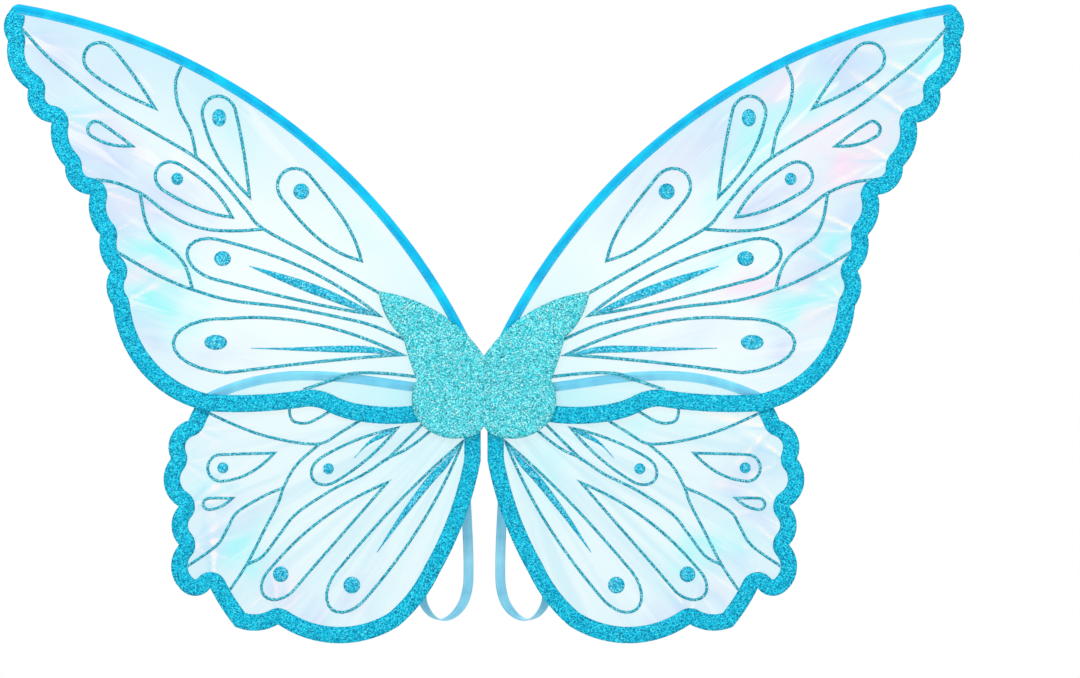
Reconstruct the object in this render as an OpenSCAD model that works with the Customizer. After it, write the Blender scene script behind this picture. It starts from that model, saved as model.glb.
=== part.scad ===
// Fairy wings: two forewings and two hindwings of clear film, edged with glitter
// fabric, stiffened by wires in ribbon casings and sewn to a small back pad with
// elastic arm loops. X runs across the wings, Z is up, +Y points to the wearer.
// The origin is the middle of the back pad's rear face.

/* [Leading edges] */
// Radius of the forewing's leading edge, at its outer side
fore_r = 367; // [366:0.5:369]
// Width of the forewing's ribbon casing
fore_casing_w = 5.8; // [5.6:0.2:8]
// Width of the hindwing's ribbon casing
hind_casing_w = 5.8; // [5.6:0.2:8]
// Thickness of a ribbon casing over its wire
casing_t = 3.2; // [3:0.1:3.6]
// Diameter of the wires
wire_d = 1.6; // [1:0.1:1.8]

/* [Film and border] */
// Thickness of the clear film
film_t = 0.4; // [0.2:0.05:0.5]
// Width of the forewing's glitter border
fore_border_w = 10.2; // [8:0.2:12]
// Width of the hindwing's glitter border
hind_border_w = 9.8; // [8:0.2:12]
// Thickness of one layer of border fabric
border_t = 0.5; // [0.3:0.05:0.6]

/* [Glitter motifs] */
// Width of the forewing's vein lines
fore_vein_w = 1.9; // [1:0.1:2.4]
// Width of the hindwing's vein lines
hind_vein_w = 1.7; // [1:0.1:2.4]
// Thickness of the glitter print
print_t = 0.25; // [0.15:0.05:0.4]

/* [Centre] */
// Thickness of one layer of the centre patch
patch_t = 0.9; // [0.6:0.1:1]
// Gap between the left and the right wings
slot_w = 4; // [3:0.5:6]
// Width of the back pad
pad_w = 72; // [60:1:76]
// Height of the back pad
pad_h = 38; // [34:1:40]
// Thickness of the back pad
pad_t = 6; // [4:0.5:8]

/* [Arm loops] */
// Width of the elastic
strap_w = 6; // [5:0.5:7]
// Thickness of the elastic
strap_t = 0.8; // [0.6:0.1:0.9]

/* [Hidden] */
SIDES = ["left", "right"];
WING_PIECES = [
    "forewing_film", "forewing_border_front", "forewing_border_back",
    "forewing_casing", "forewing_wire", "forewing_wire_caps",
    "forewing_veins", "forewing_spots",
    "hindwing_film", "hindwing_border_front", "hindwing_border_back",
    "hindwing_casing", "hindwing_wire", "hindwing_wire_caps",
    "hindwing_veins", "hindwing_spots",
    "patch_front", "patch_back", "wing_tack",
    "arm_loop", "arm_loop_tack"
];
CENTRE_PIECES = ["back_pad_cover", "back_pad_foam", "spine_stay", "patch_spine"];

// Colours
glitter_blue = [0.08, 0.70, 0.86];
glitter_teal = [0.14, 0.58, 0.70];
patch_aqua = [0.32, 0.82, 0.86];
ribbon_cyan = [0.00, 0.75, 0.96];
film_pearl = [0.84, 0.96, 1.00, 0.75];
strap_blue = [0.50, 0.78, 0.92];
steel = [0.72, 0.73, 0.75];

// Depth of each layer, counted back from the wearer's side
clear = 0.2;                                     // between layers that move or bend
strap_pitch = strap_t + 0.1;
strap_in_y = -pad_t - 0.1 - strap_t/2;           // inner strand, sewn on the pad
strap_out_y = strap_in_y - strap_pitch;          // outer strand, sewn on the inner
patch_back_y = strap_out_y - strap_t/2 - print_t - clear - patch_t/2;
hind_y = patch_back_y - patch_t/2 - clear - casing_t/2;
fore_y = hind_y - casing_t/2 - border_t - film_t/2 - 2*clear;
patch_front_y = fore_y - casing_t/2 - clear/2 - patch_t/2;
fold_y = patch_front_y - patch_t/2;              // the wings fold about this depth
border_offset = (film_t + border_t)/2;           // from a film to its border layers
root_x = -slot_w/2;                              // where the left wings begin
channel_r = 1.2;                                 // hole for the wire and its caps
wire_inset = 1.9;                                // wire centre, in from the outer edge
slot_depth = 2;                                  // how far a film enters its casing
step = 3;                                        // length of one step along a curve

// The leading edges: centres in X and Z, radii, and angles from +X
fore_c = [-337.7, -131.2];
fore_tip_a = 80.5;
hind_outer_c = [-108, -118];
hind_outer_r = 130;
hind_outer_a = 116.5;
hind_inner_c = [-108, -248];
hind_inner_r = hind_outer_r + hind_outer_c[1] - hind_inner_c[1];
hind_slope_a = 82;

// Outer edges, tip to root: X, Z, and how far the arc to the next point bulges out
fore_scallops = [
    [-278, 230.6, 5.2], [-284, 209, 5], [-272, 180, 5.6], [-258, 160, 3.4],
    [-250, 134, 4.7], [-235, 117, 3.2], [-229, 93, 2.8], [-223, 71.5, 3],
    [-221.5, 51, 14.2], [-164.5, -12.2, 1.6], [-105, -9.3, -1], [-92, -13, 0.8],
    [-72, -18.5, 1.2], [-38, -18.5, 0.5]
];
hind_scallops = [
    [-173, -10, 0.2], [-176.5, -17.5, 5.7], [-187, -40.5, 6.5], [-182.5, -69, 4.4],
    [-182.3, -92, 6.3], [-179, -120.5, 3.2], [-163.5, -118, 0.8], [-148.5, -141, 3],
    [-123, -139.5, 10.8], [-51, -140.5, 2.2], [-26.5, -108.5, 3], [-2, -41.5, 0]
];
fore_root_z = -15;
// Left half of the centre patch, from its upper lobe's tip, in the same form
patch_edge = [
    [-63, 59.5, 3], [-48, 31.5, 0.6], [-40, 6.5, 4], [-38.3, -19, 6.5],
    [-2.4, -24.5, 0.3], [0, -21, 0], [0, 21, 8]
];

// Teardrops: round end's X, Z and radius, its length over its radius, tip's X and Z,
// fullness, and bow to the right-hand side as seen from the round end
fore_drops = [
    [-229, 198, 9.8, 1.05, -196, 168.5, 1.5, 0.3],
    [-231.5, 156, 5, 1, -209.5, 146, 2, 0.9],
    [-158, 165, 10.2, 1.1, -139.7, 115.5, 2, 1.6],
    [-186.3, 127.3, 9.3, 1.1, -150, 103.5, 2.6, -0.4],
    [-159, 78.3, 11.9, 1.6, -62.5, 45, 2.5, -2.3],
    [-153, 27, 16.3, 2, -48.5, 21.5, 1.75, -4.2],
    [-111.9, 121.3, 11, 1.1, -73, 77.5, 3.4, 0.9]
];
hind_drops = [
    [-157, -46, 8.2, 1, -125, -37, 1.8, 1.6],
    [-164, -67.5, 3.6, 1.1, -150, -64, 1.8, 0.6],
    [-93, -47, 8.5, 1.3, -51.5, -22, 2.1, 0],
    [-121, -113, 9.7, 1.45, -57.5, -54.5, 2.2, -2.8],
    [-79, -115.5, 12.1, 1.6, -12.5, -30, 2.3, 1.1]
];
// Vein lines, each through its own points in X and Z
fore_lines = [
    [[-279, 220], [-272, 212], [-259, 198], [-242, 184], [-224, 170], [-202, 157],
     [-173, 140], [-159, 128], [-142, 108], [-132, 97], [-101, 80], [-60, 57]],
    [[-180, 195], [-184, 184], [-182, 169], [-175, 155], [-171.5, 139]],
    [[-231, 126], [-219, 124], [-204, 117.5], [-191, 107.5], [-179, 100.5],
     [-164, 96.3], [-148, 95.5], [-132, 96.5]],
    [[-205, 117], [-202, 101.5], [-196.5, 91.5], [-185, 83], [-178, 74], [-174, 61]],
    [[-219, 83], [-202, 73], [-188, 66], [-174, 60.5], [-151, 54], [-117.5, 50],
     [-89, 44.5], [-66.5, 39], [-44, 29]],
    [[-107, 1], [-89, 7], [-78, 10.5], [-60, 10.5], [-36, 8]]
];
hind_lines = [
    [[-167, -12], [-152, -19], [-137, -25], [-122, -29], [-107, -31.5], [-96, -31],
     [-86, -25], [-68, -14]],
    [[-116.5, -8], [-115.5, -16], [-111.5, -19], [-103.5, -18.5], [-90, -11]],
    [[-98, -31.5], [-111.5, -43.5], [-119.5, -57], [-123, -67], [-132, -84.5],
     [-142, -104], [-154, -122]],
    [[-120.5, -58], [-132, -63], [-147.5, -72.5], [-153, -81.5], [-160, -92.5],
     [-179, -106]],
    [[-28, -20.5], [-40.5, -30.8], [-49, -36.3], [-57, -39.9], [-70.5, -49],
     [-80.5, -54], [-92, -59.8], [-112, -73.2], [-122, -85.5], [-132, -98.5],
     [-141, -103.5]],
    [[-32, -14], [-38, -21], [-47, -30], [-58, -41]]
];
// Spots: X, Z, width and height
fore_dots = [
    [-158, 163, 8.4, 10.4], [-183, 126.5, 7, 7.4], [-156, 79, 10, 9],
    [-160, 29, 13.6, 9], [-109, 119, 9.6, 9.6]
];
hind_dots = [
    [-156, -46, 6.6, 6.6], [-93, -46.5, 6.6, 6.6], [-121.5, -109.5, 9.4, 9.4],
    [-79, -116, 10, 10]
];
// Spikes: their widest width, how late along them it comes, then the points of their
// middle line, root last
fore_spikes = [
    [5.6, 1.1, [-140, 74.5], [-115, 65.6], [-90.5, 56.3], [-62, 44]],
    [3.8, 1.5, [-139, 25.5], [-112, 25], [-89, 25], [-68, 24.5], [-50, 21]]
];
hind_spikes = [
    [2.4, 2.4, [-77.5, -40], [-68, -30.5], [-54, -23.5]],
    [4.3, 1.15, [-64, -96.5], [-49, -75], [-32.5, -53.5], [-23.5, -44], [-15.5, -34]]
];

// The left arm loop's middle line: X, Y, Z and the elastic's twist in degrees
loop_route = [
    [-7, strap_in_y, -14, 0], [-7, strap_in_y, -20, 0], [-7.5, -6, -28, 0],
    [-9, -4, -42, 0], [-11, -2, -60, 0], [-10.5, -1, -76, 0], [-9.8, 0, -92, 0],
    [-9.5, 0, -106, 0], [-10, 0, -118, 8], [-13, 0, -128, 25], [-19, 0, -135, 55],
    [-26, 0, -137.5, 90], [-32.5, -1, -134, 125], [-37, -2, -126, 150],
    [-36.5, -3, -116, 168], [-30.5, -4, -104, 178], [-22.5, -5, -89, 180],
    [-15, -6, -72, 180], [-10, -7, -54, 180], [-7.5, strap_out_y, -36, 180],
    [-7, strap_out_y, -24, 180], [-7, strap_out_y, -14, 180]
];
loop_steps = 3;                                  // rings between two route points
loop_corner = 0.25;                              // rounding of the elastic's edges

// Curves ------------------------------------------------------------------------

// Point at t on the smooth curve from b to c, whose neighbours are a and d
function blend(a, b, c, d, t) =
    0.5*(2*b + (c - a)*t + (2*a - 5*b + 4*c - d)*t*t + (3*b - a - 3*c + d)*t*t*t);

// Smooth curve through the points p, with n steps between neighbours
function smooth(p, n) = let (last = len(p) - 1) [
    for (i = [0:last - 1]) for (k = [0:n - 1])
        blend(i > 0 ? p[i - 1] : 2*p[0] - p[1], p[i], p[i + 1],
              i < last - 1 ? p[i + 2] : 2*p[last] - p[last - 1], k/n),
    p[last]
];

// Arc from a to b, without b, that stands out by bulge to the right-hand side
function arc_to(a, b, bulge) = let (
    chord = norm(b - a),
    u = (b - a)/chord,
    out = [u[1], -u[0]],
    half = 2*atan(2*bulge/chord),
    n = max(1, ceil(chord/step))
) abs(bulge) < 0.05 ? [a] : let (r = chord/2/sin(half)) [
    for (i = [0:n - 1]) let (t = half*(2*i/n - 1))
        (a + b)/2 + r*sin(t)*u + r*(cos(t) - cos(half))*out
];

// Points of an edge given as X, Z and bulge
function bulged(p) = [
    for (i = [0:len(p) - 2])
        each arc_to([p[i][0], p[i][1]], [p[i + 1][0], p[i + 1][1]], p[i][2]),
    [p[len(p) - 1][0], p[len(p) - 1][1]]
];

// Points on a circle about c from angle a0 to angle a1
function on_circle(c, r, a0, a1) = let (n = ceil(abs(a1 - a0)*PI/180*r/(2*step))) [
    for (i = [0:n]) let (a = a0 + (a1 - a0)*i/n) c + r*[cos(a), sin(a)]
];

// Unit normal of a path at its point i
function normal_at(p, i) = let (
    d = p[min(i + 1, len(p) - 1)] - p[max(i - 1, 0)]
) [-d[1], d[0]]/norm(d);

// Outline of a stroke along p, whose width at each point is the list w
function stroke(p, w) = concat(
    [for (i = [0:len(p) - 1]) p[i] + normal_at(p, i)*w[i]/2],
    [for (i = [len(p) - 1:-1:0]) p[i] - normal_at(p, i)*w[i]/2]
);

// Outline of one teardrop
function teardrop(d) = let (
    c = [d[0], d[1]],
    tip = [d[4], d[5]],
    u = (tip - c)/norm(tip - c),
    side = [u[1], -u[0]],
    n = ceil(norm(tip - c)/(1.5*step))
) concat(
    [for (a = [90:15:269]) c + d[2]*(cos(a)*d[3]*u - sin(a)*side)],
    [for (i = [0:n]) let (s = i/n)
        c + (tip - c)*s + side*(d[7]*4*s*(1 - s) + d[2]*(1 - pow(s, d[6])))],
    [for (i = [n - 1:-1:1]) let (s = i/n)
        c + (tip - c)*s + side*(d[7]*4*s*(1 - s) - d[2]*(1 - pow(s, d[6])))]
);

// Wing shapes in X and Z ----------------------------------------------------------

// Angle at which the forewing's leading edge, inset by i, reaches x
function fore_root_a(i, x) = acos((x - fore_c[0])/(fore_r - i));

// The forewing's outline, with its leading edge inset by i and its root at x
function fore_shape(i, x, tip_a = fore_tip_a, edge = fore_scallops) = concat(
    on_circle(fore_c, fore_r - i, fore_root_a(i, x), tip_a),
    bulged(edge),
    [[x, fore_root_z]]
);

// End of the hindwing's inner arc, inset by i, and the leading edge's height at x
function hind_bend(i) = hind_inner_c + (hind_inner_r - i)*[cos(hind_slope_a), sin(hind_slope_a)];
function hind_root_z(i, x) = hind_bend(i)[1] - (x - hind_bend(i)[0])/tan(hind_slope_a);

// The hindwing's outline, in the same form
function hind_shape(i, x) = concat(
    [[x, hind_root_z(i, x)]],
    on_circle(hind_inner_c, hind_inner_r - i, hind_slope_a, 89.5),
    on_circle(hind_outer_c, hind_outer_r - i, 90, hind_outer_a),
    bulged(hind_scallops),
    [[x, hind_scallops[len(hind_scallops) - 1][1]]]
);

// The same outlines run wide of the edges that have no border: the leading edges and
// the forewing's root. At the tip the forewing's runs straight up, so that the window
// has a sharp corner there.
past_edge = 30;
fore_side = [-284.3, 222, 1.9];
fore_side_a = acos((fore_side[0] - fore_c[0])/(fore_r + past_edge));
fore_wide = fore_shape(-past_edge, past_edge, fore_side_a,
    concat([fore_side], [for (i = [1:len(fore_scallops) - 1]) fore_scallops[i]]));
hind_wide = hind_shape(-past_edge, root_x);

// Glitter border of a wing: the shape without its window. The window comes from the
// wide shape, as there is no border along the leading edge.
module border_2d(shape, wide_shape, width) {
    difference() {
        polygon(shape);
        offset(r = -width, $fn = 48) polygon(wide_shape);
    }
}

module veins_2d(drops, lines, w) {
    hair = 0.3;
    offset(delta = (w - hair)/2) {
        for (d = drops) difference() {
            polygon(teardrop(d));
            offset(delta = -hair) polygon(teardrop(d));
        }
        for (l = lines) let (p = smooth(l, 5)) polygon(stroke(p, [for (q = p) hair]));
    }
}

module spots_2d(dots, spikes) {
    spike_end = 0.5;
    spike_round = 0.9;
    for (d = dots) translate([d[0], d[1]]) scale([1, d[3]/d[2]]) circle(d = d[2], $fn = 40);
    for (s = spikes) {
        p = smooth([for (i = [2:len(s) - 1]) s[i]], 6);
        last = len(p) - 1;
        polygon(stroke(p, [for (i = [0:last])
            spike_end + s[0]*pow(sin(180*pow(i/last, s[1])), spike_round)]));
    }
}

// A flat layer in X and Z, t thick, with its middle at depth y
module layer(y, t) {
    translate([0, y, 0]) rotate([90, 0, 0]) linear_extrude(t, center = true) children();
}

// Leading edges: each child is a profile whose x = 0 lies on the outer edge ----------

module along_arc(c, r, a0, a1, y) {
    translate([c[0], y, c[1]])
        rotate([90, 0, 0])
            rotate_extrude(angle = a1 - a0, start = a0, $fn = 720)
                translate([r, 0]) children();
}

module along_line(p, a, length, y) {
    translate([p[0], y, p[1]])
        rotate([0, -a, 0]) rotate([180, 0, 0]) rotate([0, 90, 0])
            linear_extrude(length) children();
}

module fore_edge(a0, a1) {
    along_arc(fore_c, fore_r, a0, a1, fore_y) children();
}

// The whole hindwing edge, cut short at each end by the length trim
module hind_edge(trim) {
    p = hind_bend(0);
    trim_a = trim/hind_outer_r*180/PI;
    along_arc(hind_outer_c, hind_outer_r, 90, hind_outer_a - trim_a, hind_y) children();
    along_arc(hind_inner_c, hind_inner_r, hind_slope_a, 90, hind_y) children();
    along_line(p, hind_slope_a - 90, (root_x - p[0])/sin(hind_slope_a) - trim, hind_y) children();
}

module casing_profile(w) {
    r = casing_t/2;
    difference() {
        union() {
            translate([-r, 0]) circle(r, $fn = 32);
            translate([r - w, 0]) circle(r, $fn = 32);
            translate([r - w, -r]) square([w - 2*r, casing_t]);
        }
        translate([-wire_inset, 0]) circle(channel_r, $fn = 32);
        translate([-w - 1, -film_t/2]) square([slot_depth + 1, film_t]);
    }
}

module wire_profile() {
    translate([-wire_inset, 0]) circle(d = wire_d, $fn = 32);
}

module cap_profile() {
    translate([-wire_inset, 0]) difference() {
        circle(channel_r - 0.05, $fn = 32);
        circle(d = wire_d, $fn = 32);
    }
}

// Left wing pieces -----------------------------------------------------------------

fore_film_inset = fore_casing_w - slot_depth;
hind_film_inset = hind_casing_w - slot_depth;
fore_start_a = fore_root_a(0, root_x) + 0.6;
wire_trim = 4;                                   // casing left empty past a wire's end
cap_len = 7;
wire_trim_a = wire_trim/fore_r*180/PI;
cap_a = cap_len/fore_r*180/PI;

module forewing_film() {
    color(film_pearl) layer(fore_y, film_t) polygon(fore_shape(fore_film_inset, root_x));
}

module forewing_border(side) {
    color(glitter_blue) layer(fore_y + side*border_offset, border_t)
        border_2d(fore_shape(fore_casing_w + clear, root_x), fore_wide, fore_border_w);
}

module forewing_casing() {
    color(ribbon_cyan) fore_edge(fore_start_a, fore_tip_a) casing_profile(fore_casing_w);
}

module forewing_wire() {
    color(steel) fore_edge(fore_start_a + wire_trim_a, fore_tip_a - wire_trim_a) wire_profile();
}

module forewing_wire_caps() {
    root_a = fore_start_a + wire_trim_a;
    tip_a = fore_tip_a - wire_trim_a;
    color("white") {
        fore_edge(root_a, root_a + cap_a) cap_profile();
        fore_edge(tip_a - cap_a, tip_a) cap_profile();
    }
}

// The print lies on the window of the film, inside the border and the casing
module in_fore_window() {
    intersection() {
        children();
        polygon(fore_shape(fore_casing_w + clear, root_x - 30));
        offset(r = -fore_border_w - clear, $fn = 48) polygon(fore_wide);
    }
}

module in_hind_window() {
    intersection() {
        children();
        polygon(hind_shape(hind_casing_w + clear, root_x));
        offset(r = -hind_border_w - clear, $fn = 48) polygon(hind_wide);
    }
}

module forewing_veins() {
    color(glitter_teal) layer(fore_y - (film_t + print_t)/2, print_t)
        in_fore_window() veins_2d(fore_drops, fore_lines, fore_vein_w);
}

module forewing_spots() {
    color(glitter_blue) layer(fore_y - (film_t + print_t)/2, print_t)
        difference() {
            spots_2d(fore_dots, fore_spikes);
            offset(delta = 0.05) veins_2d(fore_drops, [], fore_vein_w);
        }
}

module hindwing_film() {
    color(film_pearl) layer(hind_y, film_t) polygon(hind_shape(hind_film_inset, root_x));
}

module hindwing_border(side) {
    color(glitter_blue) layer(hind_y + side*border_offset, border_t)
        border_2d(hind_shape(hind_casing_w + clear, root_x), hind_wide, hind_border_w);
}

module hindwing_casing() {
    color(strap_blue) hind_edge(0) casing_profile(hind_casing_w);
}

module hindwing_wire() {
    color(steel) hind_edge(wire_trim) wire_profile();
}

module hindwing_wire_caps() {
    trim_a = wire_trim/hind_outer_r*180/PI;
    tip_a = hind_outer_a - trim_a;
    hind_cap_a = cap_len/hind_outer_r*180/PI;
    root_cap_x = root_x - (wire_trim + cap_len)*sin(hind_slope_a);
    color("white") {
        along_arc(hind_outer_c, hind_outer_r, tip_a - hind_cap_a, tip_a, hind_y) cap_profile();
        along_line([root_cap_x, hind_root_z(0, root_cap_x)], hind_slope_a - 90, cap_len, hind_y)
            cap_profile();
    }
}

module hindwing_veins() {
    color(glitter_teal) layer(hind_y - (film_t + print_t)/2, print_t)
        in_hind_window() veins_2d(hind_drops, hind_lines, hind_vein_w);
}

module hindwing_spots() {
    color(glitter_blue) layer(hind_y - (film_t + print_t)/2, print_t)
        difference() {
            spots_2d(hind_dots, hind_spikes);
            offset(delta = 0.05) veins_2d(hind_drops, [], hind_vein_w);
        }
}

// One half of the centre patch, up to the fold
module half_patch(y) {
    color(patch_aqua) layer(y, patch_t) intersection() {
        polygon(bulged(concat(patch_edge, [patch_edge[0]])));
        translate([-100, -100]) square([100 + root_x, 200]);
    }
}

// Thread that ties the forewing's lower corner to the hindwing's upper one
module wing_tack() {
    tack_at = [-167, -7.5];
    tack_d = 2.4;
    front = fore_y + film_t/2 + border_t;
    back = hind_y - film_t/2 - border_t;
    color("white") translate([tack_at[0], back, tack_at[1]])
        rotate([90, 0, 0]) cylinder(h = back - front, d = tack_d, $fn = 32);
}

// Arm loops --------------------------------------------------------------------------

// The ring of the elastic at point i of the path: a flat section with small chamfers
function loop_ring(p, i) = let (
    at = [p[i][0], p[i][1], p[i][2]],
    d = p[min(i + 1, len(p) - 1)] - p[max(i - 1, 0)],
    t = [d[0], d[1], d[2]]/norm([d[0], d[1], d[2]]),
    flat = cross([0, 1, 0], t),
    across = flat/norm(flat),
    deep = cross(t, across),
    wide = across*cos(p[i][3]) + deep*sin(p[i][3]),
    thin = cross(t, wide),
    w = strap_w/2,
    h = strap_t/2,
    c = loop_corner
) [for (q = [[w, h - c], [w - c, h], [c - w, h], [-w, h - c],
             [-w, c - h], [c - w, -h], [w - c, -h], [w, c - h]])
    at + q[0]*wide + q[1]*thin];

module arm_loop() {
    p = smooth(loop_route, loop_steps);
    n = 8;
    last = len(p) - 1;
    rings = [for (i = [0:last]) each loop_ring(p, i)];
    sides = [for (i = [0:last - 1]) for (k = [0:n - 1]) let (a = i*n + k, b = i*n + (k + 1)%n)
        each [[a, b, b + n], [a, b + n, a + n]]];
    ends = [[for (k = [n - 1:-1:0]) k], [for (k = [0:n - 1]) last*n + k]];
    color(strap_blue) polyhedron(points = rings, faces = concat(sides, ends), convexity = 6);
}

// Zigzag stitches that hold both ends of the elastic down
module arm_loop_tack() {
    tack_w = 5;
    tack_h = 2.4;
    color("white")
        translate([loop_route[0][0], strap_out_y - (strap_t + print_t)/2, -17])
            cube([tack_w, print_t, tack_h], center = true);
}

// Centre pieces ----------------------------------------------------------------------

pad_corner = 14;
cover_t = 0.8;

module pad_block(inset) {
    r = pad_corner - inset;
    layer(-pad_t/2, pad_t - 2*inset) hull()
        for (x = [-1, 1]) for (z = [-1, 1])
            translate([x*(pad_w/2 - pad_corner), z*(pad_h/2 - pad_corner)]) circle(r, $fn = 48);
}

module back_pad_cover() {
    color(patch_aqua) difference() {
        pad_block(0);
        pad_block(cover_t);
    }
}

module back_pad_foam() {
    color("white") pad_block(cover_t);
}

// Flexible stay in the centre seam, from the pad to the front patch
module spine_stay() {
    stay_w = 2.4;
    stay_h = 34;
    front = patch_front_y + patch_t/2;
    color("white") translate([-stay_w/2, front, -stay_h/2])
        cube([stay_w, -pad_t - front, stay_h]);
}

// The strip of the front patch that stays still between the two folds
module patch_spine() {
    half_w = slot_w/2 - clear;
    color(patch_aqua) layer(patch_front_y, patch_t) intersection() {
        square([2*half_w, 100], center = true);
        for (m = [0, 1]) mirror([m, 0]) polygon(bulged(concat(patch_edge, [patch_edge[0]])));
    }
}

// Each wing piece by name, in its left-hand form
module wing_piece(name) {
    if (name == "forewing_film") forewing_film();
    if (name == "forewing_border_front") forewing_border(-1);
    if (name == "forewing_border_back") forewing_border(1);
    if (name == "forewing_casing") forewing_casing();
    if (name == "forewing_wire") forewing_wire();
    if (name == "forewing_wire_caps") forewing_wire_caps();
    if (name == "forewing_veins") forewing_veins();
    if (name == "forewing_spots") forewing_spots();
    if (name == "hindwing_film") hindwing_film();
    if (name == "hindwing_border_front") hindwing_border(-1);
    if (name == "hindwing_border_back") hindwing_border(1);
    if (name == "hindwing_casing") hindwing_casing();
    if (name == "hindwing_wire") hindwing_wire();
    if (name == "hindwing_wire_caps") hindwing_wire_caps();
    if (name == "hindwing_veins") hindwing_veins();
    if (name == "hindwing_spots") hindwing_spots();
    if (name == "patch_front") half_patch(patch_front_y);
    if (name == "patch_back") half_patch(patch_back_y);
    if (name == "wing_tack") wing_tack();
    if (name == "arm_loop") arm_loop();
    if (name == "arm_loop_tack") arm_loop_tack();
}

back_pad_cover();
back_pad_foam();
spine_stay();
patch_spine();
for (p = WING_PIECES) {
    wing_piece(p);
    mirror([1, 0, 0]) wing_piece(p);
}
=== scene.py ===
"""Fairy wings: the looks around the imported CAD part, in metres and in the CAD's frame.

The outlines of the film, the borders, the glitter print and the patch are read from the
CAD nodes' front faces. Every layer of a wing is then meshed finely and moved by one field
of soft ripples, so the layers keep their distances while the sheet looks like real film.
"""
import math

import bpy
import numpy as np
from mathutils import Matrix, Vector
from mathutils.geometry import delaunay_2d_cdt


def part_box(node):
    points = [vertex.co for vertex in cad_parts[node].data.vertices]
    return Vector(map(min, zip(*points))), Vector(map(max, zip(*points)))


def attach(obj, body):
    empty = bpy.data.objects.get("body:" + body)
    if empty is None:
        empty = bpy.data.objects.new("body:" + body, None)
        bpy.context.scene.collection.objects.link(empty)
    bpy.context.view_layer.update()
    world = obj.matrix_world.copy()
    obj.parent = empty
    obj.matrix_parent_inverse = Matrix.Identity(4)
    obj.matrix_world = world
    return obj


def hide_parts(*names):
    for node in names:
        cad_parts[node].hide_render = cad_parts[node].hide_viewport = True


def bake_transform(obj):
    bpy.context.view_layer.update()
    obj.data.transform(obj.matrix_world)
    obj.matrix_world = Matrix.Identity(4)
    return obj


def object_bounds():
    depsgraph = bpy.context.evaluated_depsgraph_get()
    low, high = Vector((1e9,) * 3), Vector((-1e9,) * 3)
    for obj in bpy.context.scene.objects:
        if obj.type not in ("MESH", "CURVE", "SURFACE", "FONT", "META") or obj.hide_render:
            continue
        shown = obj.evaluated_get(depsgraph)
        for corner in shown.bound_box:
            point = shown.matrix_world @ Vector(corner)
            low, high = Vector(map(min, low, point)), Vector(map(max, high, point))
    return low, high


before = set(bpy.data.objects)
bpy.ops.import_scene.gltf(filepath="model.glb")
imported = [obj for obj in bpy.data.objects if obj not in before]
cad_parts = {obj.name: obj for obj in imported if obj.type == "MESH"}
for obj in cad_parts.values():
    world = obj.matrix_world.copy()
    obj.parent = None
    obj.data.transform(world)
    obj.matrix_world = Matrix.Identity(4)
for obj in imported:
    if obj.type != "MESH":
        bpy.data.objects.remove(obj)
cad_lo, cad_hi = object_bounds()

MM = 0.001
SIDES = {"left": -1, "right": 1}
RNG = np.random.default_rng(7)

GRID = 2.2 * MM      # spacing of a sheet's inner points
SHEET_T = {"film": 0.16 * MM, "border": 0.45 * MM, "print": 0.352 * MM, "patch": 0.9 * MM}
FACING = -0.9                               # the normals of front faces have a lower Y
SAME_PLACE = 0.002 * MM                     # points this near in X and Z are one


# Outlines of flat CAD layers --------------------------------------------------------------------

def rim_edges(faces):
    """The directed edges that only one of the triangles has, in their first order."""
    edges = {}
    for a, b, c in faces:
        for u, v in ((a, b), (b, c), (c, a)):
            edges[(u, v)] = True
    return [(u, v) for u, v in edges if (v, u) not in edges]


def front_loops(node):
    """The outlines, in X and Z, of a flat node's front face, as closed loops."""
    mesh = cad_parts[node].data
    mesh.calc_loop_triangles()
    co = np.array([v.co for v in mesh.vertices], float)
    tri = np.array([t.vertices for t in mesh.loop_triangles if t.normal.y < FACING])
    keys, same = np.unique(np.round(co[:, [0, 2]] / SAME_PLACE).astype(np.int64),
                           axis=0, return_inverse=True)
    same = same.ravel()
    places = np.zeros((len(keys), 2))
    places[same] = co[:, [0, 2]]
    after = {}
    for u, v in rim_edges(same[tri]):
        after.setdefault(u, []).append(v)
    loops = []
    while after:
        start = next(iter(after))
        loop, at = [start], after[start].pop()
        while at != start and at in after:
            loop.append(at)
            nxt = after[at].pop()
            if not after[at]:
                del after[at]
            at = nxt
        if not after.get(start, True):
            del after[start]
        if len(loop) > 2:
            loops.append(places[loop])
    return loops


def area_of(loop):
    x, z = loop[:, 0], loop[:, 1]
    return 0.5 * float(np.sum(x * np.roll(z, -1) - np.roll(x, -1) * z))


def outline(node):
    """The largest of a flat node's outlines."""
    return max(front_loops(node), key=lambda l: abs(area_of(l)))


def inside(points, loops):
    """Which points lie inside the loops, by the even-odd rule."""
    hit = np.zeros(len(points), bool)
    for loop in loops:
        a, b = loop, np.roll(loop, -1, axis=0)
        for (x0, z0), (x1, z1) in zip(a, b):
            if z0 == z1:
                continue
            rows = (points[:, 1] >= min(z0, z1)) & (points[:, 1] < max(z0, z1))
            cross = x0 + (points[rows, 1] - z0) / (z1 - z0) * (x1 - x0)
            hit[rows] ^= points[rows, 0] < cross
    return hit


def nearest_edge(points, loops):
    """Distance of each point from the loops."""
    best = np.full(len(points), 1e9)
    for loop in loops:
        a, b = loop, np.roll(loop, -1, axis=0)
        for p, q in zip(a, b):
            d = q - p
            t = np.clip(((points - p) @ d) / max(d @ d, 1e-18), 0, 1)
            best = np.minimum(best, np.linalg.norm(points - p - t[:, None] * d, axis=1))
    return best


def resample(loop, step):
    """The loop with points added so that no edge is longer than step."""
    out = []
    for p, q in zip(loop, np.roll(loop, -1, axis=0)):
        n = max(1, math.ceil(np.linalg.norm(q - p) / step))
        out += [p + (q - p) * k / n for k in range(n)]
    return np.array(out)


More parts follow.
